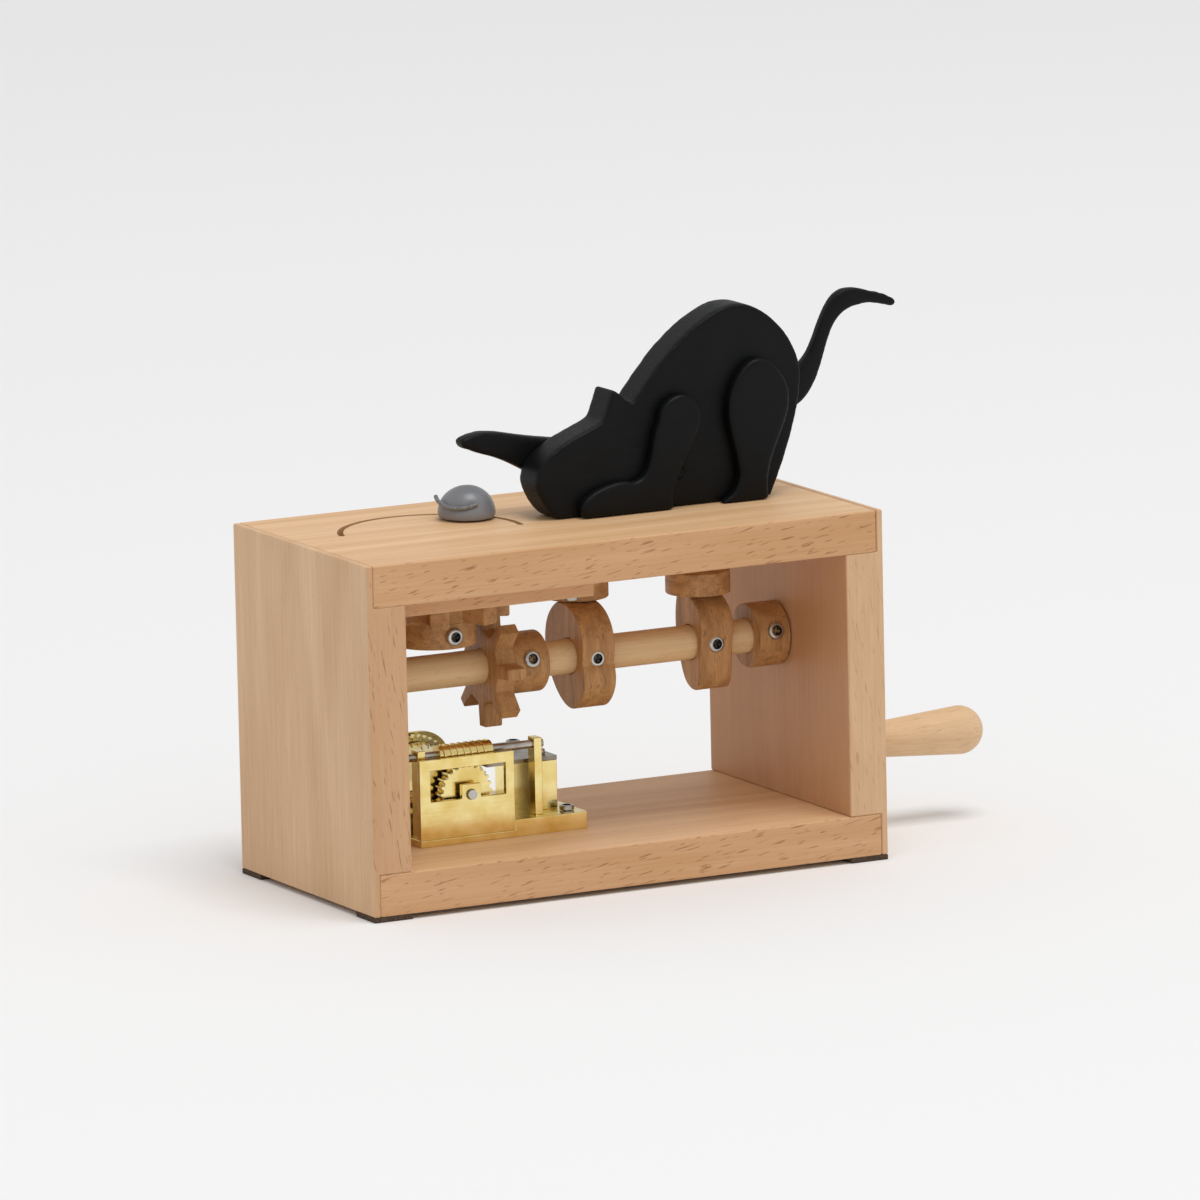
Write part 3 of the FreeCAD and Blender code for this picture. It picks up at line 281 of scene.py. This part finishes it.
# The finish of each material slot, then the pieces whose grain, metal or paint differs from their slot's
finishes = {
    "beech": makeWood("planed_beech_board", beechBoard, alongX),
    "turned_beech": makeWood("turned_beech", turnedBeech, alongX),
    "stained_wood": makeWood("steamed_beech", steamedBeech, alongZ),
    "dowel": makeWood("pale_dowel", paleDowel, alongX),
    "black_paint": makePaint("satin_black_paint", blackPaint),
    "grey_paint": makePaint("satin_grey_paint", greyPaint),
    "leather": makeSoft("waxed_leather_thong", waxedThong),
    "felt": makeSoft("brown_wool_felt", brownFelt),
    "brass": makeMetal("rolled_brass", rolledBrass),
    "steel": makeMetal("bright_steel", brightSteel),
}
panelBeech = makeWood("planed_beech_panel", beechPanel, alongZ)
rightBeech = makeWood("beech_right_panel_painted_inner_shade", rightPanel, alongZ)
uprightDowel = makeWood("pale_dowel_upright", paleDowel, alongZ)
crossBeech = makeWood("steamed_beech_across", steamedBeech, alongY)
combFinish = makeMetal("comb_spring_steel", combSteel)
recessShadeFinish = makeMetal("steel_painted_recess_shade", recessShadeSteel)
special = {
    "left_panel": panelBeech, "right_panel": rightBeech, "crank_arm": panelBeech,
    "mouse_axle": uprightDowel, "paw_push_rod": uprightDowel, "tail_push_rod": uprightDowel,
    "mouse_gear": crossBeech, "paw_follower": crossBeech, "tail_follower": crossBeech, "comb": combFinish,
    "shoulder_pin": finishes["black_paint"], "tail_pivot_pin": finishes["black_paint"],
}
print("materials made")


def finishOf(node):
    return special.get(node, finishes[slotOf[node]])


def paint(piece, material):
    if not piece.material_slots:
        piece.data.materials.append(material)
    for place in piece.material_slots:
        place.material = material


def selectOnly(piece):
    bpy.ops.object.select_all(action="DESELECT")
    piece.select_set(True)
    bpy.context.view_layer.objects.active = piece


def applyModifier(piece, kind, settings):
    selectOnly(piece)
    modifier = piece.modifiers.new(kind.lower(), kind)
    for key, value in settings.items():
        setattr(modifier, key, value)
    bpy.ops.object.modifier_apply(modifier=modifier.name)


def smoothShade(piece, angle):
    selectOnly(piece)
    bpy.ops.object.shade_smooth_by_angle(angle=math.radians(angle))


def standsFor(piece, node):
    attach(piece, bodyOf[node])
    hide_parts(node)
    paint(piece, finishOf(node))


# How near two corners are when they become one, and how flat two faces, in millimetres and degrees
merging = {"copyReach": 0.002, "cutReach": 0.01, "flat": 0.4}


def mergeFlat(piece, reach):
    selectOnly(piece)
    bpy.ops.object.mode_set(mode="EDIT")
    bpy.ops.mesh.select_all(action="SELECT")
    bpy.ops.mesh.remove_doubles(threshold=reach * mm)
    bpy.ops.mesh.dissolve_limited(angle_limit=math.radians(merging["flat"]))
    bpy.ops.object.mode_set(mode="OBJECT")


def mergedCopy(node, name):
    piece = bpy.data.objects.new(name, nodes[node].data.copy())
    bpy.context.scene.collection.objects.link(piece)
    selectOnly(piece)
    bpy.ops.mesh.customdata_custom_splitnormals_clear()
    mergeFlat(piece, merging["copyReach"])
    return piece


def addBox(size, place):
    bpy.ops.object.select_all(action="DESELECT")
    bpy.ops.mesh.primitive_cube_add(size=1, location=place)
    piece = bpy.context.active_object
    piece.scale = size
    bpy.ops.object.transform_apply(location=True, rotation=True, scale=True)
    return piece


def addRod(radius, depth, place, sides):
    bpy.ops.object.select_all(action="DESELECT")
    bpy.ops.mesh.primitive_cylinder_add(vertices=sides, radius=radius, depth=depth, location=place)
    bpy.ops.object.transform_apply(location=True, rotation=True, scale=True)
    return bpy.context.active_object


def joinInto(piece, others):
    selectOnly(piece)
    for other in others:
        other.select_set(True)
    bpy.ops.object.join()
    return piece


def cutWith(piece, operation, tool):
    applyModifier(piece, "BOOLEAN", {"operation": operation, "object": tool, "solver": "EXACT"})
    bpy.data.objects.remove(tool)


def markEdges(piece, wanted):
    # full bevel weight on the edges whose two ends pass the test
    weights = piece.data.attributes.new("bevel_weight_edge", "FLOAT", "EDGE")
    for edge in piece.data.edges:
        ends = [piece.data.vertices[index].co for index in edge.vertices]
        weights.data[edge.index].value = 1.0 if wanted(*ends) else 0.0


# Sanded or filed edges: facets of the rounding, and how sharp an edge is rounded, in degrees
easing = {"facets": 3, "sharp": 32}


def easeEdges(piece, radius, limit, clamp=False):
    applyModifier(piece, "BEVEL", {"width": radius * mm, "segments": easing["facets"], "limit_method": limit,
                                   "angle_limit": math.radians(easing["sharp"]), "use_clamp_overlap": clamp})
    smoothShade(piece, crease)
    applyModifier(piece, "WEIGHTED_NORMAL", {"keep_sharp": True})


for name, node in nodes.items():
    paint(node, finishOf(name))
print("pieces painted:", len(nodes))

# Wood and brass with their edges eased, radius in millimetres
easedEdges = {
    "base_board": 0.5, "left_panel": 0.5, "right_panel": 0.5, "mouse_tray": 0.4, "mouse_gear": 0.6,
    "paw_cam": 0.5, "tail_cam": 0.5, "paw_follower": 0.5, "tail_follower": 0.5, "crank_arm": 1.0,
    "handle": 0.4, "mouse_arm": 0.3, "feet": 0.3, "movement_front_plate": 0.15, "movement_bedplate": 0.25,
    "worm_brackets": 0.25, "comb_post": 0.25, "paw_push_rod": 0.15, "tail_push_rod": 0.15,
}
for node, radius in easedEdges.items():
    piece = mergedCopy(node, node + "_eased")
    easeEdges(piece, radius, "ANGLE")
    standsFor(piece, node)
print("edges eased:", len(easedEdges))

# Top board: only its outer edges are rounded, the slot and the rod holes stay crisp
topBoard = {"edge": 0.6}


def makeTopBoard(look):
    low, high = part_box("top_board")
    board = mergedCopy("top_board", "top_board_eased")

    def onRim(point):
        sides = [min(abs(point[axis] - low[axis]), abs(point[axis] - high[axis])) for axis in range(3)]
        return sum(side < hair for side in sides) >= 2

    markEdges(board, lambda first, second: onRim(first) and onRim(second))
    easeEdges(board, look["edge"], "WEIGHT")
    standsFor(board, "top_board")


makeTopBoard(topBoard)
print("top board rounded")

# Painted cat and mouse: sanded round and thickly painted, so each piece is remeshed finely, by a voxel in
# millimetres, and smoothed for some rounds. Blunt ends are discs across the cut-out, as distance from its
# left end, or from its right end where it is negative, height above its underside and radius.
paintedWood = {
    "nodes": ["cat_body", "near_foreleg", "near_hind_leg", "far_hind_leg", "raised_paw", "tail", "mouse"],
    "remesh": (0.6, 20), "fineRemesh": {"mouse": (0.35, 80)}, "crease": 60, "discSides": 32,
    "bluntEnds": {"tail": [(-1.5, 35.9, 1.4), (-4.0, 36.9, 1.65), (-6.5, 37.6, 1.8)],
                  "raised_paw": [(1.9, 18.8, 1.8)]},
}


def addDisc(node, sides, fromEnd, height, radius):
    low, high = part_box(node)
    end = high.x if fromEnd < 0 else low.x
    middle = Vector((end + fromEnd * mm, (low.y + high.y) / 2, low.z + height * mm))
    disc = addRod(radius * mm, high.y - low.y, (0, 0, 0), sides)
    disc.data.transform(Matrix.Translation(middle) @ Matrix.Rotation(math.radians(90), 4, "X"))
    return disc


def makePaintedWood(look):
    for node in look["nodes"]:
        piece = mergedCopy(node, node + "_eased")
        joinInto(piece, [addDisc(node, look["discSides"], *disc) for disc in look["bluntEnds"].get(node, [])])
        voxel, rounds = look["fineRemesh"].get(node, look["remesh"])
        applyModifier(piece, "REMESH", {"mode": "VOXEL", "voxel_size": voxel * mm})
        applyModifier(piece, "SMOOTH", {"factor": 0.5, "iterations": rounds})
        smoothShade(piece, look["crease"])
        standsFor(piece, node)


makePaintedWood(paintedWood)
print("painted pieces rounded:", len(paintedWood["nodes"]))

# Rear plate of the movement with its two upper corners rounded
rearPlate = {"corner": 9.0, "facets": 12}


def makeRearPlate(look):
    low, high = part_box("movement_rear_plate")
    plate = mergedCopy("movement_rear_plate", "movement_rear_plate_eased")

    def atCorner(first, second):
        side = min(abs(first.x - low.x), abs(first.x - high.x))
        level = abs(first.x - second.x) < hair and abs(first.z - second.z) < hair
        return side < hair and high.z - first.z < hair and level

    markEdges(plate, atCorner)
    applyModifier(plate, "BEVEL", {"width": look["corner"] * mm, "segments": look["facets"],
                                   "limit_method": "WEIGHT", "use_clamp_overlap": False})
    smoothShade(plate, crease)
    standsFor(plate, "movement_rear_plate")


makeRearPlate(rearPlate)
print("rear plate rounded")

# Turned pieces on the camshaft, radius in millimetres: the star gear's hub and the stop collar. The star is
# the toothed disc of its CAD node, cut off at its thickness, and eased outside the inner radius.
turnedHubs = {"star_gear": 8.8, "stop_collar": 9.3}
shaftFit = {"bore": 5.12, "ease": 0.5, "overrun": 1.0, "starThick": 5.95, "starInside": 7.0, "starRoom": 60}
roundSides = 72


def addLyingRod(radius, start, end, centre):
    rod = addRod(radius * mm, end - start, (0, 0, 0), roundSides)
    lie = Matrix.Rotation(math.radians(90), 4, "Y")
    rod.data.transform(Matrix.Translation(((start + end) / 2, centre[0], centre[1])) @ lie)
    return rod


def makeStar(fit, low, centre):
    star = mergedCopy("star_gear", "star_teeth")
    size = ((fit["starThick"] + fit["overrun"]) * mm, fit["starRoom"] * mm, fit["starRoom"] * mm)
    middle = low.x + (fit["starThick"] - fit["overrun"]) / 2 * mm
    cutWith(star, "INTERSECT", addBox(size, (middle, centre[0], centre[1])))
    mergeFlat(star, merging["cutReach"])

    def onOutline(first, second):
        reaches = [math.hypot(point.y - centre[0], point.z - centre[1]) for point in (first, second)]
        return min(reaches) > fit["starInside"] * mm and abs(first.x - second.x) < hair

    markEdges(star, onOutline)
    easeEdges(star, fit["ease"], "WEIGHT", True)
    return star


def makeTurnedHubs(radii, fit):
    shaftLow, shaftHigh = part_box("camshaft")
    centre = ((shaftLow.y + shaftHigh.y) / 2, (shaftLow.z + shaftHigh.z) / 2)
    spare = fit["overrun"] * mm
    for node, radius in radii.items():
        low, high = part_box(node)
        start = low.x + fit["starThick"] / 2 * mm if node == "star_gear" else low.x
        hub = addLyingRod(radius, start, high.x, centre)
        hub.name = node + "_eased"
        easeEdges(hub, fit["ease"], "ANGLE")
        if node == "star_gear":
            cutWith(hub, "UNION", makeStar(fit, low, centre))
        cutWith(hub, "DIFFERENCE", addLyingRod(fit["bore"], low.x - spare, high.x + spare, centre))
        smoothShade(hub, crease)
        standsFor(hub, node)
    return centre


shaftCentre = makeTurnedHubs(turnedHubs, shaftFit)
print("hubs turned")

# Pan-head screws with a cross recess in a cup, painted dark as shade, modelled once, in millimetres. Each
# head is turned on by some degrees from the one before, so that no two stop alike.
panScrew = {
    "head": 2.5, "height": 1.5, "sides": 40, "dome": 0.8, "domeFacets": 5, "domeShape": 0.6,
    "cup": 1.5, "cupDepth": 0.7, "cupSides": 32, "crossLength": 2.9, "crossWidth": 0.7, "crossDepth": 1.25,
    "shank": 1.2, "reach": 3.0, "shankSides": 20, "crease": 32, "firstTwist": 25, "nextTwist": 47,
}
# The way each node's heads face, and their share of the full size
screwNodes = {
    "set_screws": ((0, -1, 0), 1.0), "mouse_gear_screw": ((0, -1, 0), 1.0), "comb_screws": ((0, 0, 1), 0.85),
    "bedplate_screws": ((0, 0, 1), 0.85), "tray_screws": ((0, 0, -1), 0.9),
}
setScrew = {"turn": 14, "sink": 0.3}  # degrees above level round the shaft, depth of the head's underside


def makePanScrew(look):
    height = look["height"] * mm
    head = addRod(look["head"] * mm, height, (0, 0, -height / 2), look["sides"])
    bpy.ops.object.mode_set(mode="EDIT")
    bpy.ops.mesh.select_all(action="DESELECT")
    bpy.ops.object.mode_set(mode="OBJECT")
    for edge in head.data.edges:
        edge.select = all(head.data.vertices[index].co.z > -hair for index in edge.vertices)
    bpy.ops.object.mode_set(mode="EDIT")
    bpy.ops.mesh.select_mode(type="EDGE")
    bpy.ops.mesh.bevel(offset=look["dome"] * mm, segments=look["domeFacets"], profile=look["domeShape"])
    bpy.ops.object.mode_set(mode="OBJECT")
    length, width, depth = (look[key] * mm for key in ("crossLength", "crossWidth", "crossDepth"))
    arms = ((length, width), (width, length))
    bars = [addBox((along, across, 2 * depth), (0, 0, 0)) for along, across in arms]
    cup = addRod(look["cup"] * mm, 2 * look["cupDepth"] * mm, (0, 0, 0), look["cupSides"])
    cutter = joinInto(cup, bars)
    paint(head, finishes["steel"])
    # painted shade: the cutter's dark dull steel passes to the recess faces
    paint(cutter, recessShadeFinish)
    applyModifier(head, "BOOLEAN", {"operation": "DIFFERENCE", "object": cutter, "solver": "EXACT",
                                    "use_self": True, "material_mode": "TRANSFER"})
    bpy.data.objects.remove(cutter)
    reach = look["reach"] * mm
    joinInto(head, [addRod(look["shank"] * mm, reach, (0, 0, -height - reach / 2), look["shankSides"])])
    smoothShade(head, look["crease"])
    return head


def looseSolids(node):
    # the box of each separate solid of a node, in order along X
    mergedCopy(node, node + "_parted")
    bpy.ops.object.mode_set(mode="EDIT")
    bpy.ops.mesh.select_all(action="SELECT")
    bpy.ops.mesh.separate(type="LOOSE")
    bpy.ops.object.mode_set(mode="OBJECT")
    boxes = []
    for solid in list(bpy.context.selected_objects):
        corners = [Vector(corner) for corner in solid.bound_box]
        boxes.append((Vector(map(min, *corners)), Vector(map(max, *corners))))
        bpy.data.objects.remove(solid)
    return sorted(boxes, key=lambda corners: tuple(corners[0]))


def seatOnShaft(crown, facing, look):
    # the set screws of the turned pieces are turned up round the camshaft, the cams' stay in their holes
    for carrier, radius in turnedHubs.items():
        low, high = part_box(carrier)
        if low.x < crown.x < high.x:
            raised = Matrix.Rotation(-math.radians(look["turn"]), 4, "X")
            reach = (radius + panScrew["height"] - look["sink"]) * mm
            return Vector((crown.x, *shaftCentre)) + raised @ (facing * reach), raised
    return crown, Matrix.Identity(4)


def placeScrews(look, heads):
    pattern = makePanScrew(look)
    for node, (way, size) in heads.items():
        facing = Vector(way)
        copies = []
        for count, (low, high) in enumerate(looseSolids(node)):
            middle, half = (low + high) / 2, (high - low) / 2
            crown = middle + Vector([facing[axis] * half[axis] for axis in range(3)])
            turn = facing.to_track_quat("Z", "Y").to_matrix().to_4x4()
            if node == "set_screws":
                crown, raised = seatOnShaft(crown, facing, setScrew)
                turn = raised @ turn
            twist = Matrix.Rotation(math.radians(look["firstTwist"] + look["nextTwist"] * count), 4, "Z")
            copy = bpy.data.objects.new(node + "_cross", pattern.data.copy())
            bpy.context.scene.collection.objects.link(copy)
            copy.data.transform(Matrix.Translation(crown) @ turn @ twist @ Matrix.Scale(size, 4))
            copies.append(copy)
        screws = joinInto(copies[0], copies[1:])
        standsFor(screws, node)
        # painted shade in the recess: its faces keep the dark dull steel
        screws.material_slots[1].material = recessShadeFinish
    bpy.data.objects.remove(pattern)


placeScrews(panScrew, screwNodes)
print("screws placed")

# Thread on the worm, in millimetres: a narrow ridge wound on a sleeve, kept clear of the wheel below it
wormThread = {"sleeve": 2.65, "root": 2.5, "tip": 2.95, "foot": 1.1, "crest": 0.5, "pitch": 2.1, "turns": 7,
              "steps": 28, "weld": 0.001}


def makeWormThread(look):
    low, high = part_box("worm_shaft")
    wheelLow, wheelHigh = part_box("worm_wheel")
    middle = (wheelLow.x + wheelHigh.x) / 2
    centreY, centreZ = (low.y + high.y) / 2, (low.z + high.z) / 2
    bpy.ops.object.select_all(action="DESELECT")
    bpy.ops.mesh.primitive_plane_add(size=1)
    ridge = bpy.context.active_object
    start = -look["pitch"] * look["turns"] / 2
    profile = [(-look["foot"] / 2, look["root"]), (look["foot"] / 2, look["root"]),
               (-look["crest"] / 2, look["tip"]), (look["crest"] / 2, look["tip"])]
    for vertex, (along, radius) in zip(ridge.data.vertices, profile):
        vertex.co = ((start + along) * mm, 0, radius * mm)
    bpy.ops.object.mode_set(mode="EDIT")
    bpy.ops.mesh.select_all(action="SELECT")
    bpy.ops.mesh.delete(type="ONLY_FACE")
    bpy.ops.object.mode_set(mode="OBJECT")
    applyModifier(ridge, "SCREW", {"axis": "X", "angle": math.radians(360), "iterations": look["turns"],
                                   "screw_offset": look["pitch"] * mm, "steps": look["steps"],
                                   "render_steps": look["steps"]})
    bpy.ops.object.mode_set(mode="EDIT")
    bpy.ops.mesh.select_all(action="SELECT")
    bpy.ops.mesh.remove_doubles(threshold=look["weld"] * mm)
    bpy.ops.mesh.fill_holes(sides=0)
    bpy.ops.mesh.normals_make_consistent(inside=False)
    bpy.ops.object.mode_set(mode="OBJECT")
    ridge.data.transform(Matrix.Translation((middle, centreY, centreZ)))
    half = look["pitch"] * (look["turns"] + 1) / 2 * mm
    joinInto(ridge, [addLyingRod(look["sleeve"], middle - half, middle + half, (centreY, centreZ))])
    ridge.name = "worm_thread"
    smoothShade(ridge, crease)
    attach(ridge, bodyOf["worm_shaft"])
    paint(ridge, finishes["brass"])


makeWormThread(wormThread)
print("worm thread wound")

# Pins on the music cylinder, in millimetres: short steel pegs on eighteen tracks, a little sunk into the
# barrel. The beats are worked out by a formula: a turn from track to track, in degrees, and a waver.
musicPins = {"barrel": 9.5, "radius": 0.22, "height": 0.55, "sink": 0.05, "sides": 6, "tracks": 18,
             "beats": 9, "spread": 137.5, "waver": 23, "trackWave": 3, "beatWave": 5}


def makeMusicPins(look):
    low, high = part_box("cylinder")
    axis = Vector(((low.x + high.x) / 2, 0, (low.z + high.z) / 2))
    standing = look["barrel"] + look["height"] / 2 - look["sink"]
    peg = addRod(look["radius"] * mm, look["height"] * mm, (0, 0, standing * mm), look["sides"])
    copies = []
    for track in range(look["tracks"]):
        along = low.y + (high.y - low.y) * (track + 0.5) / look["tracks"]
        for beat in range(look["beats"]):
            waver = look["waver"] * math.sin(track * look["trackWave"] + beat * look["beatWave"])
            angle = track * look["spread"] + beat * 360 / look["beats"] + waver
            copy = bpy.data.objects.new("music_pin", peg.data.copy())
            bpy.context.scene.collection.objects.link(copy)
            turn = Matrix.Rotation(math.radians(angle), 4, "Y")
            copy.data.transform(Matrix.Translation(axis + Vector((0, along, 0))) @ turn)
            copies.append(copy)
    bpy.data.objects.remove(peg)
    pins = joinInto(copies[0], copies[1:])
    pins.name = "music_pins"
    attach(pins, bodyOf["cylinder"])
    paint(pins, finishes["steel"])


makeMusicPins(musicPins)
print("cylinder pinned")

# Studio: a floor of matt white paper without shine, a softbox high above and a little to the front, and an
# even white surround
studio = {"floor": "#f3f3f3", "floorSide": 16.0, "surround": "#ffffff", "surroundLevel": 0.62,
          "boxPlace": (0.2, -1.4, 4.9), "boxSide": 2.6, "boxPower": 116.0}


def makeStudio(look):
    bpy.ops.object.select_all(action="DESELECT")
    bpy.ops.mesh.primitive_plane_add(size=look["floorSide"])
    floor = bpy.context.active_object
    floor.name = "studio_floor"
    paint(floor, newMaterial("matt_white_paper", {"Roughness": 0.9, "Specular IOR Level": 0.1,
                                                  "Base Color": srgb(look["floor"])})[0])
    world = bpy.data.worlds.new("even_surround")
    bpy.context.scene.world = world
    world.use_nodes = True
    backdrop = world.node_tree.nodes["Background"]
    backdrop.inputs["Color"].default_value = srgb(look["surround"])
    backdrop.inputs["Strength"].default_value = look["surroundLevel"]
    lamp = bpy.data.lights.new("overhead_softbox", "AREA")
    lamp.energy = look["boxPower"]
    lamp.size = look["boxSide"]
    softbox = bpy.data.objects.new("overhead_softbox", lamp)
    bpy.context.scene.collection.objects.link(softbox)
    softbox.location = look["boxPlace"]
    softbox.rotation_euler = (-Vector(look["boxPlace"])).to_track_quat("-Z", "Y").to_euler()


makeStudio(studio)

# Camera where the photograph was taken from: a long lens, left of the front and a little above
photoCamera = {"azimuth": -27.315, "elevation": 10.325, "roll": -1.248, "lens": 400.2, "sensor": 36.0,
               "distance": 3.8004, "target": (-0.01532, -0.0026, 0.07651)}


def makeCamera(look):
    azimuth, elevation, roll = (math.radians(look[key]) for key in ("azimuth", "elevation", "roll"))
    back = Vector((math.sin(azimuth) * math.cos(elevation), -math.cos(azimuth) * math.cos(elevation),
                   math.sin(elevation)))
    right = Vector((math.cos(azimuth), math.sin(azimuth), 0))
    up = back.cross(right)
    tilted = right * math.cos(roll) + up * math.sin(roll)
    raised = up * math.cos(roll) - right * math.sin(roll)
    lens = bpy.data.cameras.new("photo_camera")
    lens.lens = look["lens"]
    lens.sensor_width = look["sensor"]
    camera = bpy.data.objects.new("photo_camera", lens)
    bpy.context.scene.collection.objects.link(camera)
    place = Matrix((tilted, raised, back)).transposed().to_4x4()
    place.translation = Vector(look["target"]) + back * look["distance"]
    camera.matrix_world = place
    bpy.context.scene.camera = camera


makeCamera(photoCamera)
bpy.context.scene.view_settings.view_transform = "Standard"
print("studio and camera set")
